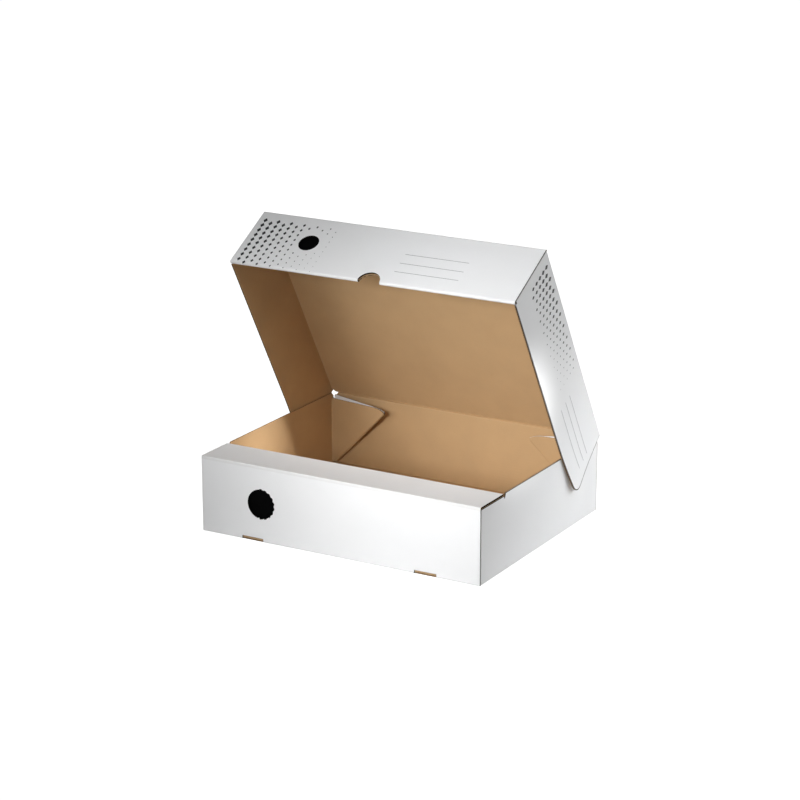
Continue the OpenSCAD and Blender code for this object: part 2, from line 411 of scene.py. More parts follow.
@dataclass(frozen=True)
class InkFinish:
    """Printed ink, or a black card that is painted shade: a colour with a little mottle and its own gloss."""
    name: str
    colour: Quad
    roughness: float
    mottle: float
    gloss: float = 0.3
    fibre_scale: float = 1400.0
    grain: float = 0.01 * MM

    def build(self, effects: Effects) -> Material:
        """Makes the material.

        Args:
            effects: the shared shader groups.

        Returns:
            The finished material.
        """
        material, tree, shader = new_material(self.name)
        place = tree.node("ShaderNodeTexCoord").outputs["Object"]
        fibre = placed(tree, effects.fibre, Place=place, Scale=self.fibre_scale, Stretch=1.0,
                       Depth=self.mottle)
        tree.link(tree.scaled(self.colour[:3], fibre["Tone"]), shader.inputs["Base Color"])
        shader.inputs["Roughness"].default_value = self.roughness
        shader.inputs["Specular IOR Level"].default_value = self.gloss
        tree.bump(tree.math("MULTIPLY", fibre["Height"], self.grain), shader)
        return material


WHITE_LINER = LinerFinish(
    "white_liner", colour=(0.85, 0.855, 0.86, 1), worn=(0.70, 0.69, 0.67, 1), roughness=0.62,
    sheen_level=0.35, fibre_scale=700.0, fibre_depth=0.035, fleck=0.0, ridge=0.010 * MM,
    grain=0.012 * MM, wear=0.35)
KRAFT_LINER = LinerFinish(
    "kraft_liner", colour=(0.540, 0.359, 0.190, 1), worn=(0.60, 0.42, 0.24, 1), roughness=0.86,
    sheen_level=0.22, fibre_scale=620.0, fibre_depth=0.16, fleck=0.22, ridge=0.016 * MM,
    grain=0.030 * MM, wear=0.3)
CUT_MEDIUM = LinerFinish(
    "cut_medium", colour=(0.150, 0.096, 0.058, 1), worn=(0.24, 0.16, 0.10, 1), roughness=0.93,
    sheen_level=0.10, fibre_scale=900.0, fibre_depth=0.25, fleck=0.2, ridge=0.0,
    grain=0.030 * MM, wear=0.2)
# Painted shade: near-black for the cut edges, medium and liner backs of panels in shade, standing in for the deep
# dark gaps at their ends.
SHADED_CUT = LinerFinish(
    "shaded_cut", colour=(0.016, 0.012, 0.009, 1), worn=(0.03, 0.022, 0.016, 1), roughness=0.95,
    sheen_level=0.05, fibre_scale=900.0, fibre_depth=0.25, fleck=0.2, ridge=0.0,
    grain=0.030 * MM, wear=0.2)
# Crushed cut edge coloured dark grey as painted shade: it stands for the thin shadow line along the lid skirts' and
# side walls' cut edges.
CRUSHED_EDGE_SHADE = LinerFinish(
    "crushed_edge", colour=(0.115, 0.108, 0.100, 1), worn=(0.16, 0.15, 0.14, 1), roughness=0.9,
    sheen_level=0.12, fibre_scale=900.0, fibre_depth=0.2, fleck=0.2, ridge=0.0,
    grain=0.020 * MM, wear=0.2)
CHARCOAL_INK = InkFinish("charcoal_ink", (0.030, 0.030, 0.033, 1), roughness=0.55, mottle=0.3)
GREY_INK = InkFinish("grey_ink", (0.26, 0.26, 0.27, 1), roughness=0.6, mottle=0.2)
# Painted shade: a near-black card set behind the finger holes, standing for the dark inside them.
PAINTED_SHADE_CARD = InkFinish("black_card", (0.0015, 0.0015, 0.0016, 1), roughness=0.95, mottle=0.3,
                       gloss=0.03)


class Skin(IntEnum):
    """A panel's materials, in the order that its mesh counts them."""
    WHITE = 0
    KRAFT = 1
    MEDIUM = 2
    # The last two are painted shade: near-black for hollows and dark grey for crushed borders.
    SHADED = 3
    CRUSHED_SHADE = 4


class Finishes:
    """Every material of the box, built once. board holds a panel's, in the order of Skin."""

    def __init__(self) -> None:
        """Builds the shared effects and the finishes."""
        effects = Effects()
        self.board = [finish.build(effects) for finish in
                      (WHITE_LINER, KRAFT_LINER, CUT_MEDIUM, SHADED_CUT, CRUSHED_EDGE_SHADE)]
        self.charcoal, self.grey, self.black = (
            finish.build(effects) for finish in (CHARCOAL_INK, GREY_INK, PAINTED_SHADE_CARD))


# ---------------------------------------------------------------- the board itself

@dataclass(frozen=True)
class Stock:
    """Sizes of the corrugated board, in metres."""
    board: float = 1.6 * MM
    liner: float = 0.24 * MM
    pitch: float = 3.4 * MM
    medium: float = 0.2 * MM
    recess: float = 0.18 * MM
    crush: float = 0.2 * MM
    steps: int = 10


class Layer(Enum):
    """What a face of a panel's solid belongs to."""
    WHITE = 0
    KRAFT = 1
    CUT = 2
    SEAM = 3


@dataclass(frozen=True)
class Roll:
    """Where a panel turns round on itself.

    point and along give the roll's axis, beyond the way that the roll lies from it, and outside
    the layer that shows.
    """
    point: Triple
    along: Triple
    beyond: Triple
    outside: Layer


@dataclass(frozen=True)
class Spring:
    """A free corner that springs outward: where its bend starts, its tip, and how far the tip stands off."""
    start: Triple
    tip: Triple
    reach: float
    steps: int = 12

    def bend(self, work: MeshWork, into: Matrix) -> None:
        """Bends a flat mesh outward in narrow strips.

        Args:
            work: the mesh, laid out flat with Z outward.
            into: the matrix from the sub-assembly's axes to that layout.
        """
        start, tip = into @ Vector(self.start), into @ Vector(self.tip)
        along = tip - start
        length = along.length
        along.normalize()
        for i in range(self.steps):
            everything = work.verts[:] + work.edges[:] + work.faces[:]
            bmesh.ops.bisect_plane(work, geom=everything, dist=ON_CUT,
                                   plane_co=start + along * (length * i / self.steps), plane_no=along)
        for vert in work.verts:
            share = max(0.0, (vert.co - start).dot(along) / length)
            vert.co.z += self.reach * share * share


@dataclass(frozen=True)
class PanelPlan:
    """How one panel is cut from the board, in the axes of the sub-assembly that it belongs to.

    white is the direction that its white liner faces, flutes the direction that its flutes run,
    and folded the directions of the edges where the white liner turns into the next panel. hollow
    is how far the medium stays back from the ends of the flutes, rim the material of the liners'
    own cut edges, and core that of the medium. crushed is the width of the white liner's crushed
    border along its cut edges, which is coloured dark grey as painted shade.
    """
    node: str
    white: Triple
    flutes: Triple
    folded: tuple[Triple, ...] = ()
    slot: str = WHITE_SLOT
    roll: Roll | None = None
    from_kraft: bool = False
    hollow: float = 0.18 * MM
    rim: Skin = Skin.MEDIUM
    core: Skin = Skin.MEDIUM
    crushed: float = 0.0
    spring: Spring | None = None


# A panel whose cut edges lie in the dark between two layers: its hollow is deeper, and its cut edges, medium and
# liner backs take the near-black painted shade.
IN_SHADE = {"hollow": 1.4 * MM, "rim": Skin.SHADED, "core": Skin.SHADED}


@dataclass
class Shell:
    """Points and faces of a mesh in the making, with a material for each face."""
    points: list[Vector] = field(default_factory=list)
    faces: list[list[int]] = field(default_factory=list)
    skins: list[int] = field(default_factory=list)

    def add(self, points: Sequence[Vector], groups: Iterable[tuple[Sequence[Sequence[int]], Skin]]) -> None:
        """Adds faces on points of their own.

        Args:
            points: the points.
            groups: faces, as numbers into those points, each group with its material.
        """
        start = len(self.points)
        self.points.extend(points)
        for faces, skin in groups:
            self.faces.extend([start + i for i in face] for face in faces)
            self.skins.extend([int(skin)] * len(faces))


def add_plane(planes: list[Plane], normal: Vector, depth: float) -> None:
    """Adds a plane to those that meet at a point, unless one that faces the same way is there.

    Args:
        planes: each plane's outward normal and how far it goes in.
        normal: the new plane's normal.
        depth: how far it goes in.
    """
    if all(normal.dot(other) < ONE_PLANE for other, _ in planes):
        planes.append((normal.copy(), depth))


def pushed_in(point: Vector, planes: Sequence[Plane], cutoff: float = 0.05) -> Vector:
    """Moves a point behind the planes that meet there.

    Args:
        point: the point.
        planes: each plane's outward normal and how far it goes in.
        cutoff: planes that differ by less than this share count as one.

    Returns:
        The nearest point that lies behind every plane by its distance.
    """
    normals = np.array([tuple(n) for n, _ in planes])
    depths = -np.array([d for _, d in planes])
    move, *_ = np.linalg.lstsq(normals, depths, rcond=cutoff)
    return point + Vector(move)


def grain_start(name: str, places: int = 17, apart: float = 0.61) -> float:
    """Returns where in the grain a piece starts, so that neighbours differ."""
    return (sum(name.encode()) % places) * apart


def finished_mesh(name: str, shell: Shell, materials: Sequence[Material], sharp_deg: float = 35.0,
                  bend: Callable[[MeshWork], None] | None = None) -> Mesh:
    """Turns a shell into a mesh with board-space UV maps and weighted normals.

    Args:
        name: the mesh's name.
        shell: its points and faces, in metres, laid out flat: X along the flutes, Y across them,
            Z to the white liner.
        materials: the materials that the shell's skins count into.
        sharp_deg: folds sharper than this keep a hard edge.
        bend: bends the mesh before its edges are sorted.

    Returns:
        The mesh, still laid out flat.
    """
    raw = bpy.data.meshes.new(name)
    raw.from_pydata([tuple(p) for p in shell.points], [], shell.faces)
    for material in materials:
        raw.materials.append(material)
    raw.polygons.foreach_set("material_index", shell.skins)
    raw.validate()
    spots = np.array([tuple(p) for p in shell.points])
    low, high = spots.min(0), spots.max(0)
    loops = np.zeros(len(raw.loops), int)
    raw.loops.foreach_get("vertex_index", loops)
    at = spots[loops]
    maps = {"board": at[:, :2] + grain_start(name),
            "sides": np.stack([at[:, 0] - low[0], high[0] - at[:, 0]], 1),
            "ends": np.stack([at[:, 1] - low[1], high[1] - at[:, 1]], 1)}
    for label, values in maps.items():
        raw.uv_layers.new(name=label).data.foreach_set("uv", values.astype(np.float32).ravel())
    work = bmesh.new()
    work.from_mesh(raw)
    if bend:
        bend(work)
    for edge in work.edges:
        if len(edge.link_faces) != 2 or edge.calc_face_angle(0.0) > math.radians(sharp_deg):
            edge.smooth = False
    for face in work.faces:
        face.smooth = True
    work.to_mesh(raw)
    work.free()
    return weighted(raw)


def new_object(name: str, mesh: Mesh) -> Object:
    """Links a mesh into the scene as an object at the origin.

    Args:
        name: the object's name.
        mesh: its mesh.

    Returns:
        The object.
    """
    made = bpy.data.objects.new(name, mesh)
    bpy.context.scene.collection.objects.link(made)
    return made


def applied(holder: Object) -> Mesh:
    """Turns an object with its modifiers into a plain mesh.

    Args:
        holder: the object, which is removed.

    Returns:
        The mesh.
    """
    made = bpy.data.meshes.new_from_object(holder.evaluated_get(bpy.context.evaluated_depsgraph_get()))
    bpy.data.objects.remove(holder)
    return made


def weighted(mesh: Mesh) -> Mesh:
    """Weights normals by face area, so that flat panels stay flat beside round folds.

    Args:
        mesh: the mesh.

    Returns:
        The mesh with such normals.
    """
    holder = new_object("weighting", mesh)
    holder.modifiers.new("weight", "WEIGHTED_NORMAL").keep_sharp = True
    made = applied(holder)
    made.name = mesh.name
    return made


def grown(group: NodeTree, base: Mesh, values: dict[str, object]) -> Mesh:
    """Runs a Geometry Nodes tree on a mesh.

    Args:
        group: the tree.
        base: the mesh that it starts from.
        values: its inputs by name.

    Returns:
        The result as a plain mesh.
    """
    holder = new_object("growing", base)
    modifier = holder.modifiers.new("grow", "NODES")
    modifier.node_group = group
    keys = {item.name: item.identifier for item in group.interface.items_tree if item.in_out == "INPUT"}
    for name, value in values.items():
        modifier[keys[name]] = value
    return applied(holder)


def outward(mesh: Mesh) -> None:
    """Turns a closed mesh's faces outward.

    Args:
        mesh: the mesh.
    """
    work = bmesh.new()
    work.from_mesh(mesh)
    bmesh.ops.recalc_face_normals(work, faces=work.faces)
    work.to_mesh(mesh)
    work.free()


def plain_mesh(name: str, work: MeshWork, material: Material) -> Mesh:
    """Makes a mesh of one material.

    Args:
        name: the mesh's name.
        work: its faces, which are freed.
        material: its material.

    Returns:
        The mesh.
    """
    mesh = bpy.data.meshes.new(name)
    work.to_mesh(mesh)
    work.free()
    mesh.materials.append(material)
    return mesh


class Fluting:
    """The fluted medium of a panel: waves that fill the space between its liners, cut off at its outline.

    MARGIN is how much larger than that space the waves start, SLACK what they keep off the liners,
    and MERGE the distance at which their points join.
    """

    MARGIN = 4 * MM
    SLACK = 0.01 * MM
    MERGE = 0.001 * MM

    def __init__(self, stock: Stock) -> None:
        """Builds the Geometry Nodes tree.

        Args:
            stock: the board's sizes.
        """
        self.stock = stock
        tree, given, out = new_group(
            "fluted_medium", GEOMETRY_TREE,
            {"Core": (GEOMETRY, None), "Pitch": (FLOAT, stock.pitch), "Swing": (FLOAT, 0.5 * MM),
             "Paper": (FLOAT, stock.medium), "Level": (FLOAT, 0.5 * stock.board),
             "Steps": (INTEGER, stock.steps), "Material": (MATERIAL, None)},
            {"Medium": GEOMETRY})
        bounds = tree.node("GeometryNodeBoundBox", Geometry=given["Core"])
        low, high = bounds.outputs["Min"], bounds.outputs["Max"]
        size = tree.split(tree.vector("SUBTRACT", high, low))
        middle = tree.split(tree.scaled(tree.vector("ADD", low, high), 0.5))
        length, width = (tree.math("ADD", side, self.MARGIN) for side in size[:2])
        waves = tree.math("DIVIDE", width, given["Pitch"])
        rows = tree.math("CEIL", tree.math("MULTIPLY", waves, given["Steps"]))
        grid = tree.node("GeometryNodeMeshGrid", Size_X=length, Size_Y=width, Vertices_X=2, Vertices_Y=rows)
        level = tree.math("SUBTRACT", given["Level"], tree.math("MULTIPLY", given["Paper"], 0.5))
        moved = tree.node("GeometryNodeTransform", Geometry=grid.outputs["Mesh"],
                          Translation=tree.join(*middle[:2], level))
        across = tree.split(tree.node("GeometryNodeInputPosition").outputs[0])[1]
        wave = tree.math("SINE", tree.turn(across, given["Pitch"]))
        waved = tree.node("GeometryNodeSetPosition", Geometry=moved.outputs[0],
                          Offset=tree.join(0.0, 0.0, tree.math("MULTIPLY", wave, given["Swing"])))
        raised = tree.node("GeometryNodeExtrudeMesh", Mesh=waved.outputs[0], Offset=tree.join(0.0, 0.0, 1.0),
                           Offset_Scale=given["Paper"], Individual=False)
        under = tree.node("GeometryNodeFlipFaces", Mesh=waved.outputs[0])
        both = tree.node("GeometryNodeJoinGeometry")
        tree.link(raised.outputs["Mesh"], both.inputs[0])
        tree.link(under.outputs[0], both.inputs[0])
        sheet = tree.node("GeometryNodeMergeByDistance", Geometry=both.outputs[0], Distance=self.MERGE)
        cut = tree.node("GeometryNodeMeshBoolean", operation="INTERSECT", solver="MANIFOLD")
        tree.link(sheet.outputs[0], cut.inputs["Mesh 2"])
        tree.link(given["Core"], cut.inputs["Mesh 2"])
        tree.seal(cut.outputs["Mesh"], given["Material"], out["Medium"])
        self.group = tree.tree

    def fill(self, core: Mesh, material: Material) -> Mesh:
        """Fills a core with waves.

        Args:
            core: a closed mesh of the space between the liners, laid out flat.
            material: the medium's material.

        Returns:
            The cut waves as a plain mesh.
        """
        stock = self.stock
        swing = (stock.board - 2 * stock.liner - stock.medium) / 2 - self.SLACK
        return grown(self.group, core, {"Pitch": stock.pitch, "Swing": swing, "Paper": stock.medium,
                                        "Level": 0.5 * stock.board, "Steps": stock.steps, "Material": material})


@dataclass(frozen=True)
class Kit:
    """What every panel is made with."""
    stock: Stock
    finishes: Finishes
    fluting: Fluting


class BoardPanel:
    """One panel of the box, rebuilt from its solid as two liners and a fluted medium.

    The capitals are the distance and the cosines that tell the faces of its solid apart.
    """

    AT_SEAM = 0.004 * MM
    ROUND_ROLL = 0.5
    ACROSS_SEAM = 0.9
    LEANING = 0.05
    FACING = 0.98

    def __init__(self, plan: PanelPlan, axes: Matrix, kit: Kit) -> None:
        """Lays the panel's solid out flat and sorts its faces.

        Args:
            plan: how the panel is cut and folded.
            axes: the sub-assembly's axes in the frame.
            kit: what it is made with.
        """
        self.plan, self.kit, self.stock = plan, kit, kit.stock
        flutes, white = Vector(plan.flutes), Vector(plan.white)
        turn = Matrix((flutes, white.cross(flutes), white)).transposed().to_4x4()
        self.place = axes @ turn
        self.solid = bmesh.new()
        self.solid.from_mesh(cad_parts[plan.node].data)
        bmesh.ops.remove_doubles(self.solid, verts=self.solid.verts, dist=ONE_POINT)
        bmesh.ops.transform(self.solid, matrix=self.place.inverted(), verts=self.solid.verts)
        heights = [v.co.z for v in self.solid.verts]
        base = min(heights) if plan.from_kraft else max(heights) - self.stock.board
        self.place = self.place @ Matrix.Translation((0, 0, base))
        bmesh.ops.translate(self.solid, vec=(0, 0, -base), verts=self.solid.verts)
        self.solid.normal_update()
        self.solid.verts.ensure_lookup_table()
        inward = turn.to_3x3().inverted()
        self.into = Matrix.Translation((0, 0, -base)) @ turn.inverted()
        self.folded = [inward @ Vector(d) for d in plan.folded]
        self.roll = self._laid_roll(inward, base) if plan.roll else None
        self.layer = {face.index: self._layer_of(face) for face in self.solid.faces}

    def _laid_roll(self, inward: Matrix, base: float) -> tuple[Vector, Vector, Vector, Layer]:
        """Lays the plan's roll out flat.

        Args:
            inward: the turn from the sub-assembly's axes to the flat layout.
            base: how far the layout is lowered.

        Returns:
            The roll's point, axis, way beyond and outer layer.
        """
        roll = self.plan.roll
        point = inward @ Vector(roll.point) - Vector((0, 0, base))
        return point, inward @ Vector(roll.along), inward @ Vector(roll.beyond), roll.outside

    def _layer_of(self, face: bmesh.types.BMFace) -> Layer:
        """Says which layer a face of the solid shows.

        Args:
            face: the face.

        Returns:
            Its layer.
        """
        normal = face.normal
        if self.roll:
            point, along, beyond, outside = self.roll
            arm = face.calc_center_median() - point
            if arm.dot(beyond) > self.AT_SEAM and abs(normal.dot(along)) < self.ROUND_ROLL:
                away = normal.dot(arm - along * arm.dot(along)) > 0
                return outside if away else (Layer.KRAFT if outside is Layer.WHITE else Layer.WHITE)
            if abs(arm.dot(beyond)) <= self.AT_SEAM and abs(normal.dot(beyond)) > self.ACROSS_SEAM:
                return Layer.SEAM
        if normal.z < -self.LEANING:
            return Layer.KRAFT
        turned = any(normal.dot(d) > self.FACING for d in self.folded)
        return Layer.WHITE if turned or normal.z > self.LEANING else Layer.CUT

    def _cuts_at(self, index: int, depth: float) -> list[Plane]:
        """Finds the cut faces at a point.

        Args:
            index: the point's number in the solid.
            depth: how far their planes go in.

        Returns:
            Their planes.
        """
        found: list[Plane] = []
        for face in self.solid.verts[index].link_faces:
            if self.layer[face.index] is Layer.CUT:
                add_plane(found, face.normal, depth)
        return found

    def _liner(self, layer: Layer, shell: Shell) -> None:
        """Adds a liner: the layer's faces, the same pushed in by its thickness, and the rim between.

        Args:
            layer: WHITE or KRAFT.
            shell: the mesh that it goes into.
        """
        faces = [f for f in self.solid.faces if self.layer[f.index] is layer]
        if not faces:
            return
        order: dict[int, int] = {}
        planes: dict[int, list[Plane]] = {}
        for face in faces:
            for vert in face.verts:
                order.setdefault(vert.index, len(order))
                add_plane(planes.setdefault(vert.index, []), face.normal, self.stock.liner)
        corners = [(self.solid.verts[i].co, planes[i], i) for i in order]
        crushed = self.plan.crushed if layer is Layer.WHITE else 0.0
        top, lip = [co.copy() for co, _, _ in corners], []
        if crushed:
            top = [pushed_in(co, [(n, 0.0) for n, _ in near] + self._cuts_at(i, crushed))
                   for co, near, i in corners]
            lip = [pushed_in(co, [(n, self.stock.crush) for n, _ in near]) for co, near, _ in corners]
        back = [pushed_in(co, near) for co, near, _ in corners]
        count = len(order)
        outer = [[order[v.index] for v in f.verts] for f in faces]
        inner = [[count + i for i in reversed(face)] for face in outer]
        sides = dict.fromkeys((a, b) for face in outer for a, b in zip(face, face[1:] + face[:1]))
        open_sides = [(a, b) for a, b in sides if (b, a) not in sides]
        row = 2 * count if crushed else 0
        rim = [[row + b, row + a, count + a, count + b] for a, b in open_sides]
        # The crushed border takes the crushed edge's dark grey painted shade.
        border = [[b, a, row + a, row + b] for a, b in open_sides] if crushed else []
        # The liner backs of a panel in shade take the near-black painted shade; those of other panels stay kraft.
        behind = Skin.SHADED if self.plan.rim is Skin.SHADED else Skin.KRAFT
        shell.add(top + back + lip, ((outer, Skin[layer.name]), (inner, behind), (rim, self.plan.rim),
                                     (border, Skin.CRUSHED_SHADE)))

    def _core(self) -> Mesh:
        """Makes the space between the liners, held back a little from the cut edges.

        Returns:
            Its closed mesh.
        """
        depth = {Layer.WHITE: self.stock.liner, Layer.KRAFT: self.stock.liner,
                 Layer.CUT: self.stock.recess, Layer.SEAM: 0.0}
        reach = max(abs(v.co.x) for v in self.solid.verts) - Fluting.SLACK
        planes: dict[int, list[Plane]] = {}
        for face in self.solid.faces:
            at_end = abs(face.normal.x) > self.FACING and all(abs(v.co.x) > reach for v in face.verts)
            for vert in face.verts:
                add_plane(planes.setdefault(vert.index, []), face.normal,
                          self.plan.hollow if at_end else depth[self.layer[face.index]])
        points = [tuple(pushed_in(v.co, planes[v.index])) for v in self.solid.verts]
        core = bpy.data.meshes.new(self.plan.node + "_core")
        core.from_pydata(points, [], [[v.index for v in f.verts] for f in self.solid.faces])
        return core

    def build(self, body: str) -> Object:
        """Makes the dressed panel and puts it on its body.

        Args:
            body: the body that it moves with.

        Returns:
            The panel's object.
        """
        shell = Shell()
        self._liner(Layer.WHITE, shell)
        self._liner(Layer.KRAFT, shell)
        board = self.kit.finishes.board
        waves = self.kit.fluting.fill(self._core(), board[Skin.MEDIUM])
        shell.add([v.co.copy() for v in waves.vertices],
                  [([list(p.vertices) for p in waves.polygons], self.plan.core)])
        self.solid.free()
        spring = self.plan.spring
        bend = (lambda work: spring.bend(work, self.into)) if spring else None
        mesh = finished_mesh(self.plan.node + "_board", shell, board, bend=bend)
        mesh.transform(self.place)
        made = new_object(self.plan.node + "_board", mesh)
        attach(made, body)
        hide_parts(self.plan.node)
        return made


# ------------------------------------------------------------- creases, cards and ink

@dataclass(frozen=True)
class Edge:
    """One side of a crease's section: where it starts, and the skin of the face from there to the next start."""
    across: float
    up: float
    skin: Skin


def edges(points: Iterable[Pair], skin: Skin) -> list[Edge]:
    """Returns sides of one skin that start at the points."""
    return [Edge(across, up, skin) for across, up in points]


def extruded(name: str, section: Sequence[Edge], start: float, end: float, axes: Matrix,
             finishes: Finishes) -> Object:
    """Draws a section out along X into a closed bar of board.

    Args:
        name: the piece's name.
        section: its sides in order, in millimetres in the Y and Z of the axes.
        start: where it starts along X, in millimetres.
        end: where it ends.
        axes: the axes that it is drawn in.
        finishes: the materials.

    Returns:
        The bar's object.
    """
    count = len(section)
    points = [Vector((x, e.across, e.up)) * MM for x in (start, end) for e in section]
    sides = [([[i, (i + 1) % count, count + (i + 1) % count, count + i]], edge.skin)
             for i, edge in enumerate(section)]
    caps = [list(reversed(range(count))), [count + i for i in range(count)]]
    shell = Shell()
    shell.add(points, sides + [(caps, Skin.KRAFT)])
    mesh = finished_mesh(name, shell, finishes.board)
    mesh.transform(axes)
    outward(mesh)
    return new_object(name, mesh)


def curve(points: Sequence[Pair], steps: int) -> list[Pair]:
    """Draws a Bezier curve through four control points.

    Args:
        points: the control points.
        steps: how many points it gets.

    Returns:
        Its points, without the last one.
    """
    spots = []
    for i in range(steps):
        t = i / steps
        weights = ((1 - t) ** 3, 3 * t * (1 - t) ** 2, 3 * t * t * (1 - t), t ** 3)
        spots.append(tuple(sum(w * p[axis] for w, p in zip(weights, points)) for axis in (0, 1)))
    return spots


@dataclass(frozen=True)
class Face:
    """A printed face of the lid: where u and v count from, where they run, and which way it faces."""
    origin: Triple
    u: Triple
    v: Triple
    out: Triple

    def axes(self, body: Matrix) -> Matrix:
        """Returns the matrix from u, v and height off the face to the frame."""
        turn = Matrix((self.u, self.v, self.out)).transposed().to_4x4()
        return body @ Matrix.Translation(Vector(self.origin) * MM) @ turn


@dataclass(frozen=True)
class Rule:
    """A printed writing line, in millimetres on its face."""
    start: float
    end: float
    down: float
    width: float = 0.55


@dataclass(frozen=True)
class Fade:
    """A field of lozenges that shrink along u and v, in millimetres on its face.

    clear is the middle and the radius of a round place that it keeps free.
    """
    start: Pair
    columns: int
    rows: int
    step: Pair
    big: float
    small: float
    fall: float
    clear: Triple = (0.0, 0.0, 0.0)
    backward: bool = False


class Print:
    """The ink on the lid, all of it generic: writing lines and a fade of lozenges.

    THICK is the ink's thickness and LIFT its middle's height off the board, in millimetres, and
    LOZENGE a lozenge's width and height as shares of its size.
    """

    THICK = 0.05
    LIFT = 0.005
    LOZENGE = (0.92, 1.3)

    def __init__(self, axes: Matrix, finishes: Finishes) -> None:
        """Builds the lozenge fade's Geometry Nodes tree.

        Args:
            axes: the lid's axes in the frame.
            finishes: the materials.
        """
        self.axes, self.finishes = axes, finishes
        tree, given, out = new_group(
            "lozenge_fade", GEOMETRY_TREE,
            {"Base": (GEOMETRY, None), "Columns": (INTEGER, 10), "Rows": (INTEGER, 8),
             "Step U": (FLOAT, 8 * MM), "Step V": (FLOAT, 8 * MM), "Big": (FLOAT, 5 * MM),
             "Small": (FLOAT, 1 * MM), "Fall": (FLOAT, 0.4), "Clear U": (FLOAT, 0.0),
             "Clear V": (FLOAT, 0.0), "Clear Radius": (FLOAT, 0.0),
             "Thickness": (FLOAT, self.THICK * MM), "Material": (MATERIAL, None)},
            {"Ink": GEOMETRY})
        width, height = (tree.math("MULTIPLY", tree.math("SUBTRACT", given[count], 1.0), given[step])
                         for count, step in (("Columns", "Step U"), ("Rows", "Step V")))
        grid = tree.node("GeometryNodeMeshGrid", Size_X=width, Size_Y=height,
                         Vertices_X=given["Columns"], Vertices_Y=given["Rows"])
        cornered = tree.node("GeometryNodeTransform", Geometry=grid.outputs["Mesh"],
                             Translation=tree.scaled(tree.join(width, height, 0.0), 0.5))
        x, y, _ = tree.split(tree.node("GeometryNodeInputPosition").outputs[0])
        column = tree.math("ROUND", tree.math("DIVIDE", x, given["Step U"]))
        odd = tree.math("MULTIPLY", tree.math("MODULO", column, 2.0),
                        tree.math("MULTIPLY", given["Step V"], 0.5))
        staggered = tree.node("GeometryNodeSetPosition", Geometry=cornered.outputs[0],
                              Offset=tree.join(0.0, odd, 0.0))
        squares = []
        for at, middle in ((x, "Clear U"), (y, "Clear V")):
            far = tree.math("SUBTRACT", at, given[middle])
            squares.append(tree.math("MULTIPLY", far, far))
        keep = tree.math("GREATER_THAN", tree.math("SQRT", tree.math("ADD", *squares)), given["Clear Radius"])
        down = tree.math("MULTIPLY", tree.math("DIVIDE", y, height), given["Fall"])
        share = tree.ramp(tree.math("ADD", tree.math("DIVIDE", x, width), down),
                          0.0, tree.math("ADD", 1.0, given["Fall"]))
        span = tree.math("SUBTRACT", given["Small"], given["Big"])
        size = tree.math("ADD", given["Big"], tree.math("MULTIPLY", share, span))
        lozenge = tree.node("GeometryNodeMeshCylinder", Vertices=4, Radius=0.5, Depth=given["Thickness"])
        shape = tree.join(*(tree.math("MULTIPLY", size, part) for part in self.LOZENGE), 1.0)
        field_of = tree.node("GeometryNodeInstanceOnPoints", Points=staggered.outputs[0], Selection=keep,
                             Instance=lozenge.outputs["Mesh"], Scale=shape)
        tree.seal(field_of.outputs[0], given["Material"], out["Ink"])
        self.group = tree.tree

    def _laid(self, name: str, mesh: Mesh, place: Matrix) -> Object:
        """Lays ink on its face and puts it on the lid.

        Args:
            name: the piece's name.
            mesh: the ink, laid out flat.
            place: its place in the frame.

        Returns:
            The ink's object.
        """
        mesh.transform(place)
        outward(mesh)
        made = new_object(name, mesh)
        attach(made, "lid")
        return made

    def rules(self, name: str, face: Face, rules: Sequence[Rule], spring: Spring | None = None) -> Object:
        """Prints writing lines.

        Args:
            name: the piece's name.
            face: the face that they are on.
            rules: the lines.
            spring: how the face's free corner springs outward.

        Returns:
            The ink's object.
        """
        work = bmesh.new()
        for rule in rules:
            size = Vector((rule.end - rule.start, rule.width, self.THICK)) * MM
            middle = Vector(((rule.start + rule.end) / 2, rule.down, self.LIFT)) * MM
            place = Matrix.Translation(middle) @ Matrix.Diagonal(size).to_4x4()
            bmesh.ops.create_cube(work, size=1.0, matrix=place)
        if spring:
            spring.bend(work, face.axes(Matrix.Identity(4)).inverted())
        return self._laid(name, plain_mesh(name, work, self.finishes.grey), face.axes(self.axes))

    def fade(self, name: str, face: Face, fade: Fade) -> Object:
        """Prints a fade of lozenges.

        Args:
            name: the piece's name.
            face: the face that it is on.
            fade: its layout.

        Returns:
            The ink's object.
        """
        turn = -1.0 if fade.backward else 1.0
        lengths = {"Step U": fade.step[0], "Step V": fade.step[1], "Big": fade.big, "Small": fade.small,
                   "Clear U": turn * (fade.clear[0] - fade.start[0]), "Clear V": fade.clear[1] - fade.start[1],
                   "Clear Radius": fade.clear[2], "Thickness": self.THICK}
        values = {"Columns": fade.columns, "Rows": fade.rows, "Fall": fade.fall,
                  "Material": self.finishes.charcoal,
                  **{label: size * MM for label, size in lengths.items()}}
        mesh = grown(self.group, bpy.data.meshes.new(name), values)
        start = Matrix.Translation(Vector((*fade.start, self.LIFT)) * MM)
        return self._laid(name, mesh, face.axes(self.axes) @ start @ Matrix.Diagonal((turn, 1.0, 1.0, 1.0)))


# ---------------------------------------------------------------- sub-assemblies

X, Y, Z = (1.0, 0.0, 0.0), (0.0, 1.0, 0.0), (0.0, 0.0, 1.0)


def minus(direction: Triple) -> Triple:
    """Returns the opposite direction."""
    return tuple(-c for c in direction)


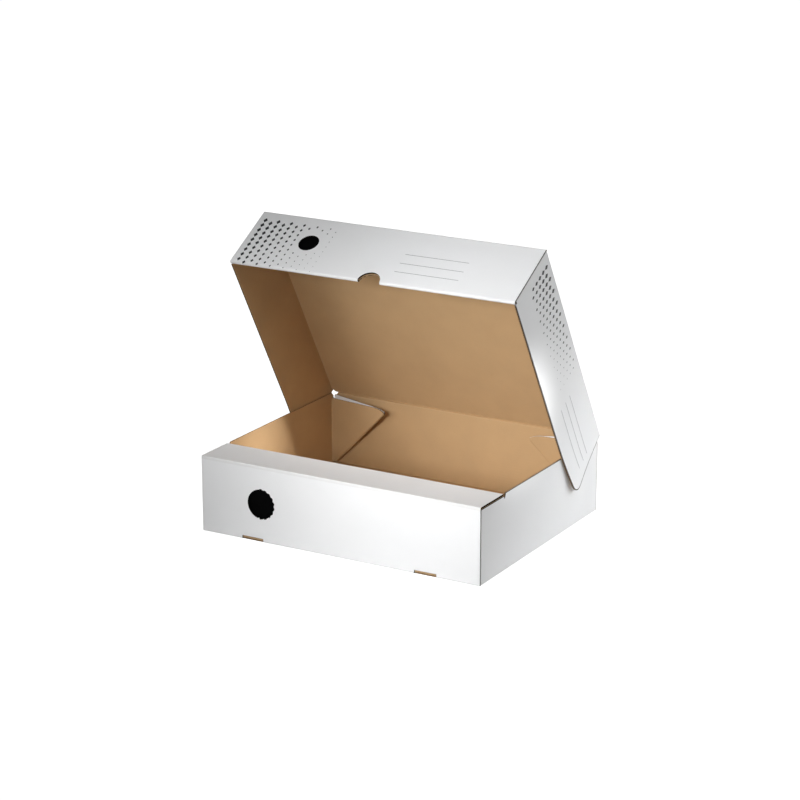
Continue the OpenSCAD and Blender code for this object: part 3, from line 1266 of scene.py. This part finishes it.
class Assembly:
    """A group of panels that move as one body."""

    CARD_THICK = 0.3 * MM
    body: str = ""

    def __init__(self, kit: Kit) -> None:
        """Keeps what its panels are made with."""
        self.kit = kit

    def axes(self) -> Matrix:
        """Returns the axes that the sub-assembly's plans are written in."""
        return Matrix.Identity(4)

    def plans(self) -> list[PanelPlan]:
        """Returns the plans of its panels."""
        raise NotImplementedError

    def build(self) -> list[Object]:
        """Makes its panels and returns them."""
        return [BoardPanel(plan, self.axes(), self.kit).build(self.body) for plan in self.plans()]

    def card(self, name: str, spot: Triple, radius: float) -> Object:
        """Puts a black card behind a finger hole, as painted shade for the dark inside it.

        Args:
            name: the piece's name.
            spot: its middle in the sub-assembly's axes, in millimetres.
            radius: its radius in millimetres.

        Returns:
            The card's object.
        """
        place = self.axes() @ Matrix.Translation(Vector(spot) * MM) @ Matrix.Rotation(math.radians(90), 4, "X")
        work = bmesh.new()
        bmesh.ops.create_cone(work, cap_ends=True, segments=64, radius1=radius * MM, radius2=radius * MM,
                              depth=self.CARD_THICK, matrix=place)
        mesh = plain_mesh(name, work, self.kit.finishes.black)
        outward(mesh)
        made = new_object(name, mesh)
        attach(made, self.body)
        return made


@dataclass(frozen=True)
class TraySize:
    """The tray's places that its dressing needs, in millimetres.

    lap is how far the folded liner runs on past each end of its fold, in two steps, proud how far
    it stands off there, turn_proud the same round the fold, and thick and cut are its inner side.
    """
    half_length: float = 175.0
    half_width: float = 140.0
    wall_top: float = 86.1
    strip_top: float = 88.0
    fold_radius: float = 1.2
    lap: float = 1.2
    proud: float = 0.03
    turn_proud: float = 0.04
    thick: float = 0.3
    cut: float = 0.6
    hole: Triple = (-98.0, -136.3, 44.0)
    card_radius: float = 24.0


class Tray(Assembly):
    """The tray: floor, walls, corner flaps and the locked hollow front."""

    body = "tray"

    def __init__(self, kit: Kit, size: TraySize = TraySize()) -> None:
        """Keeps its sizes too."""
        super().__init__(kit)
        self.size = size

    def plans(self) -> list[PanelPlan]:
        """Plans its panels.

        Returns:
            The plans.
        """
        side = (minus(Z), minus(Y), Y)
        return [
            PanelPlan("tray_floor", minus(Z), X),
            PanelPlan("tray_front_wall", minus(Y), X, (Z, minus(Z)), **IN_SHADE),
            PanelPlan("tray_back_wall", Y, X, (minus(Z), X, minus(X))),
            PanelPlan("tray_left_wall", minus(X), Z, side, crushed=0.6 * MM),
            PanelPlan("tray_right_wall", X, Z, side, crushed=0.6 * MM),
            PanelPlan("front_left_corner_flap", minus(Y), Z, slot=KRAFT_SLOT),
            PanelPlan("front_right_corner_flap", minus(Y), Z, slot=KRAFT_SLOT),
            PanelPlan("front_top_strip", Z, X, (minus(Y), Y), **IN_SHADE),
            PanelPlan("front_inner_wall", Y, X, slot=KRAFT_SLOT),
            PanelPlan("front_foot_flap", minus(Z), X, slot=KRAFT_SLOT, rim=Skin.KRAFT, core=Skin.KRAFT),
        ]

    def _fold(self) -> list[Edge]:
        """Draws the white liner that runs unbroken from the front wall over the edge to the strip.

        Returns:
            Its section.
        """
        size = self.size
        front, top, r = -size.half_width, size.strip_top, size.fold_radius
        round_r = r + size.turn_proud
        turns = [math.radians(a) for a in range(0, 91, 15)]
        outer = [(front + 2 * size.proud, size.wall_top - 2 * size.lap),
                 (front - size.proud, size.wall_top - size.lap),
                 *((front + r - round_r * math.cos(a), top - r + round_r * math.sin(a)) for a in turns),
                 (front + r + size.lap, top + size.proud),
                 (front + r + 2 * size.lap, top - 2 * size.proud)]
        inner = [(front + r + size.thick, top - size.thick), (front + size.cut * r, top - size.cut * r),
                 (front + size.thick, top - r - size.thick)]
        return edges(outer, Skin.WHITE) + edges(inner, Skin.KRAFT)

    def build(self) -> list[Object]:
        """Makes its panels, the folded liner along the front's top edge and the black card of painted shade behind
        the finger hole.

        Returns:
            Its pieces.
        """
        made = super().build()
        half = self.size.half_length
        fold = extruded("front_fold_liner", self._fold(), -half, half, self.axes(), self.kit.finishes)
        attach(fold, self.body)
        return made + [fold, self.card("tray_hole_card", self.size.hole, self.size.card_radius)]


@dataclass(frozen=True)
class WebSize:
    """A rear web's hinge line, lean and crease, in millimetres and degrees.

    The crease's section starts and ends on the wall's face, at the two wall_ends, goes round
    corner, and meets the web at web_ends in the web's own axes. bend_end and bend_line, for a bend
    from the wall's face along a line, are not used.
    """
    hinge: Pair = (173.1, 134.1)
    lean: float = 8.0
    bead_middle: float = 2.0
    wall_face: float = 173.4
    wall_ends: Pair = (133.3, 133.75)
    corner: Pair = (172.95, 133.55)
    web_ends: tuple[Pair, Pair] = ((0.9, -0.02), (0.9, 0.35))
    bend_end: float = 172.8
    bend_line: Pair = (133.5, 40.0)
    low: float = 2.8
    high: float = 81.5


class RearWeb(Assembly):
    """A rear corner web: two layers of board joined by a round fold at 45 degrees."""

    def __init__(self, side: int, kit: Kit, size: WebSize = WebSize()) -> None:
        """Keeps its side and its sizes too.

        Args:
            side: -1 for the left corner and 1 for the right one.
            kit: what its panels are made with.
            size: its sizes.
        """
        super().__init__(kit)
        self.side, self.size = side, size
        self.word = "left" if side < 0 else "right"
        self.body = f"rear_{self.word}_web"

    def axes(self) -> Matrix:
        """Finds its own axes.

        Returns:
            The axes at its hinge line, turned by its lean.
        """
        x, y = self.size.hinge
        lean = math.radians(self.size.lean) * self.side
        return Matrix.Translation(Vector((self.side * x, y, 0)) * MM) @ Matrix.Rotation(lean, 4, "Z")

    def plans(self) -> list[PanelPlan]:
        """Plans its two layers.

        Returns:
            The plans.
        """
        slant = math.sqrt(0.5)
        roll = Roll((0.0, self.size.bead_middle * MM, 0.0), (-self.side * slant, 0.0, slant),
                    (-self.side * slant, 0.0, -slant), Layer.KRAFT)
        return [
            PanelPlan(f"rear_{self.word}_web_inner", Y, Z, slot=KRAFT_SLOT),
            PanelPlan(f"rear_{self.word}_web_outer", minus(Y), X, roll=roll, from_kraft=True),
        ]

    def build(self) -> list[Object]:
        """Makes its layers and the kraft crease that joins it to the side wall.

        Returns:
            Its pieces.
        """
        made = super().build()
        size, side, root = self.size, self.side, self.axes()
        inner, outer = (root @ (Vector((-side * x, y, 0.0)) * MM) / MM for x, y in size.web_ends)
        wall = side * size.wall_face
        section = [*edges(((wall, size.wall_ends[0]), (side * size.corner[0], size.corner[1]), inner.xy),
                          Skin.KRAFT), Edge(*outer.xy, Skin.WHITE), Edge(wall, size.wall_ends[1], Skin.KRAFT)]
        upright = Matrix(((0, 1, 0, 0), (0, 0, 1, 0), (1, 0, 0, 0), (0, 0, 0, 1)))
        crease = extruded(f"rear_{self.word}_web_crease", section, size.low, size.high, upright,
                          self.kit.finishes)
        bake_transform(crease)
        return made + [crease]


@dataclass(frozen=True)
class LidSize:
    """The lid's hinge, opening and places on it, in millimetres and degrees with the lid closed.

    The crease's section is crease_curve outside and crease_inside inside, all from the hinge line.
    crease_bend, where it would start and end to bend, is not used. The tail's places are in Y and Z.
    """
    hinge: Pair = (140.0, 88.0)
    open_deg: float = 60.0
    panel_top: float = 1.9
    roll_back: float = -282.9
    roll_mid: float = -79.2
    front: float = -285.3
    side: float = 177.1
    half_length: float = 175.0
    crease_half: float = 168.0
    crease_curve: tuple[Pair, ...] = ((0.0, -0.3), (0.15, 0.35), (1.75, 0.75), (1.495, 1.21))
    crease_inside: tuple[Pair, ...] = ((1.495, 1.21), (0.11, 0.41), (-0.45, 0.05), (-1.6, -0.3))
    crease_bend: Pair = (-0.3, 0.41)
    hole: Triple = (-98.0, -282.45, -37.6)
    card_radius: float = 17.0
    tail_start: Pair = (-35.0, -39.0)
    tail_tip: Pair = (8.5, -77.4)
    tail_reach: float = 4.2


class Lid(Assembly):
    """The lid: top panel, double front skirt with a rolled edge, side skirts, flaps, hinge crease and print."""

    body = "lid"

    def __init__(self, kit: Kit, size: LidSize = LidSize()) -> None:
        """Keeps its sizes too."""
        super().__init__(kit)
        self.size = size

    def _hinge(self) -> Matrix:
        """Returns the place of the hinge line."""
        return Matrix.Translation(Vector((0.0, *self.size.hinge)) * MM)

    def axes(self) -> Matrix:
        """Returns the axes that close with the lid."""
        return self._hinge() @ Matrix.Rotation(-math.radians(self.size.open_deg), 4, "X")

    def _spring(self, side: int) -> Spring:
        """Says how a side skirt's tail springs off the tray.

        Args:
            side: -1 for the left skirt and 1 for the right one.

        Returns:
            The spring.
        """
        size = self.size
        start, tip = (tuple(c * MM for c in (side * size.side, *spot)) for spot in (size.tail_start, size.tail_tip))
        return Spring(start, tip, size.tail_reach * MM)

    def plans(self) -> list[PanelPlan]:
        """Plans its panels.

        Returns:
            The plans.
        """
        roll = Roll((0.0, self.size.roll_back * MM, self.size.roll_mid * MM), X, minus(Z), Layer.WHITE)
        skirt = (Z, minus(Y))
        return [
            PanelPlan("lid_top_panel", Z, X),
            PanelPlan("lid_front_skirt", minus(Y), X, (Z,), roll=roll, **IN_SHADE),
            PanelPlan("lid_front_inner_skirt", Y, X),
            PanelPlan("lid_left_skirt", minus(X), Z, skirt, crushed=1.2 * MM, spring=self._spring(-1)),
            PanelPlan("lid_right_skirt", X, Z, skirt, crushed=1.2 * MM, spring=self._spring(1)),
            PanelPlan("lid_left_corner_flap", minus(Y), Z, slot=KRAFT_SLOT),
            PanelPlan("lid_right_corner_flap", minus(Y), Z, slot=KRAFT_SLOT),
        ]

    def _crease(self) -> Object:
        """Makes the crease along the back wall's top edge, which bends with the lid.

        Returns:
            The crease's object.
        """
        size = self.size
        section = edges(curve(size.crease_curve, 6), Skin.WHITE) + edges(size.crease_inside, Skin.KRAFT)
        made = extruded("lid_hinge_crease", section, -size.crease_half, size.crease_half, self._hinge(),
                        self.kit.finishes)
        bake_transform(made)
        return made

    def _ink(self) -> list[Object]:
        """Prints the writing lines and the lozenges.

        Returns:
            The ink's objects.
        """
        size = self.size
        front = Face((-size.half_length, size.front, size.panel_top), X, minus(Z), minus(Y))
        right = Face((size.side, 0.0, size.panel_top), minus(Y), minus(Z), X)
        ink = Print(self.axes(), self.kit.finishes)
        return [
            ink.rules("front_writing_lines", front, [Rule(198, 276, v) for v in (36.5, 50.5, 63.8)]),
            ink.rules("side_writing_lines", right, [Rule(8, 100, v) for v in (36, 47, 59)], self._spring(1)),
            ink.fade("front_lozenges", front, Fade(start=(7, 14), columns=12, rows=9, step=(8.5, 8.0),
                                                   big=5.6, small=0.8, fall=0.35, clear=(77, 39.5, 19.0))),
            ink.fade("side_lozenges", right, Fade(start=(268, 10), columns=18, rows=5, step=(8.6, 8.6),
                                                  big=6.0, small=0.9, fall=0.5, backward=True)),
        ]

    def build(self) -> list[Object]:
        """Makes its panels, its crease, the black card of painted shade between the front skirt's layers and the
        print.

        Returns:
            Its pieces.
        """
        made = super().build()
        made.append(self._crease())
        made.append(self.card("lid_hole_card", self.size.hole, self.size.card_radius))
        return made + self._ink()


# ---------------------------------------------------------------- studio

@dataclass(frozen=True)
class Lamp:
    """A square soft light, with a narrower beam where spread_deg is under 180."""
    name: str
    place: Triple
    target: Triple
    size: float
    watts: float
    spread_deg: float = 180.0

    def hang(self) -> None:
        """Makes the light."""
        data = bpy.data.lights.new(self.name, "AREA")
        data.shape = "SQUARE"
        data.size = self.size
        data.energy = self.watts
        data.spread = math.radians(self.spread_deg)
        made = bpy.data.objects.new(self.name, data)
        made.location = self.place
        made.rotation_euler = (Vector(self.target) - Vector(self.place)).to_track_quat("-Z", "Y").to_euler()
        made.visible_camera = False
        bpy.context.scene.collection.objects.link(made)


@dataclass(frozen=True)
class View:
    """The camera of the photograph."""
    lens: float = 120.37
    place: Triple = (1.41615, -2.46127, 1.01453)
    turn_deg: Triple = (72.91, 0.0, 29.96)

    def set_up(self) -> None:
        """Makes the camera."""
        data = bpy.data.cameras.new("camera")
        data.lens = self.lens
        made = bpy.data.objects.new("camera", data)
        made.location = self.place
        made.rotation_euler = [math.radians(a) for a in self.turn_deg]
        bpy.context.scene.collection.objects.link(made)
        bpy.context.scene.camera = made


LAMPS = (
    Lamp("front_beam", (0.1, -1.2, 0.55), (0.12, 0.05, 0.12), 0.3, 0.484, 30),
    Lamp("left_front_beam", (-0.9, -1.3, 0.5), (-0.1, -0.1, 0.2), 0.5, 0.283, 50),
    Lamp("strip_beam", (-0.5, -0.25, 0.9), (-0.12, -0.115, 0.088), 0.2, 0.025, 20),
    Lamp("left_wall_beam", (1.15, -0.1, 0.42), (-0.175, -0.03, 0.065), 0.06, 0.040, 8),
    Lamp("inside_beam", (-0.5, -0.7, 0.35), (0.08, 0.12, 0.15), 0.3, 0.069, 45),
    Lamp("rear_right_lamp", (0.85, 0.55, 0.30), (0.15, 0.1, 0.1), 0.4, 1.608),
    Lamp("rear_right_beam", (0.6, 0.45, 0.3), (0.18, 0.12, 0.06), 0.2, 0.049, 50),
    Lamp("rear_corner_beam", (0.62, 0.6, 0.5), (0.177, 0.10, 0.06), 0.08, 0.070, 30),
    Lamp("lid_beam", (0.6, -0.5, 0.9), (0.15, 0.0, 0.3), 0.35, 0.217, 50),
    Lamp("rear_fill", (-0.3, 2.2, 0.7), (0.0, 0.0, 0.12), 1.2, 14.0),
)


@dataclass(frozen=True)
class Studio:
    """A white room for the picture: floor, soft light and camera.

    ambient is the strength of the light from all round, floor_grey the floor's own colour,
    floor_lift how much brighter the camera sees it than it is lit, floor_drop how far it lies
    under the box, and reach half its width in metres.
    """
    ambient: float = 0.2
    floor_grey: float = 0.80
    floor_lift: float = 0.86
    floor_drop: float = 0.3 * MM
    reach: float = 14.0

    def _floor_material(self) -> Material:
        """Makes plain paper that is lifted to white where the camera sees it.

        Returns:
            The material.
        """
        material, tree, _ = new_material("floor_paper")
        tree.tree.nodes.clear()
        paper = tree.node("ShaderNodeBsdfDiffuse", Color=(*[self.floor_grey] * 3, 1.0))
        lift = tree.node("ShaderNodeEmission", Color=(1.0, 1.0, 1.0, 1.0))
        path = tree.node("ShaderNodeLightPath").outputs
        mirrored = tree.math("MAXIMUM", path["Is Glossy Ray"], path["Is Transmission Ray"])
        seen = tree.math("MAXIMUM", path["Is Camera Ray"], mirrored)
        tree.link(tree.math("MULTIPLY", seen, self.floor_lift), lift.inputs["Strength"])
        both = tree.node("ShaderNodeAddShader")
        tree.link(paper.outputs[0], both.inputs[0])
        tree.link(lift.outputs[0], both.inputs[1])
        out = tree.node("ShaderNodeOutputMaterial")
        tree.link(both.outputs[0], out.inputs["Surface"])
        return material

    def build(self) -> None:
        """Makes the floor, the lights, the surrounding light and the camera."""
        r, down = self.reach, -self.floor_drop
        mesh = bpy.data.meshes.new("floor")
        mesh.from_pydata([(-r, -r, down), (r, -r, down), (r, r, down), (-r, r, down)], [], [[0, 1, 2, 3]])
        mesh.materials.append(self._floor_material())
        new_object("floor", mesh)
        world = bpy.data.worlds.new("room")
        world.use_nodes = True
        room = world.node_tree.nodes["Background"]
        room.inputs["Color"].default_value = (1.0, 1.0, 1.0, 1.0)
        room.inputs["Strength"].default_value = self.ambient
        bpy.context.scene.world = world
        for lamp in LAMPS:
            lamp.hang()
        View().set_up()
        bpy.context.scene.view_settings.view_transform = "Standard"


def main() -> None:
    """Dresses the whole box and sets up the picture."""
    logging.basicConfig(level=logging.INFO, format="%(name)s %(message)s")
    stock = Stock()
    kit = Kit(stock, Finishes(), Fluting(stock))
    for part in (Tray(kit), RearWeb(-1, kit), RearWeb(1, kit), Lid(kit)):
        for piece in part.build():
            log.info("%s on %s: %d faces", piece.name, part.body, len(piece.data.polygons))
    Studio().build()


if __name__ == "__main__":
    main()
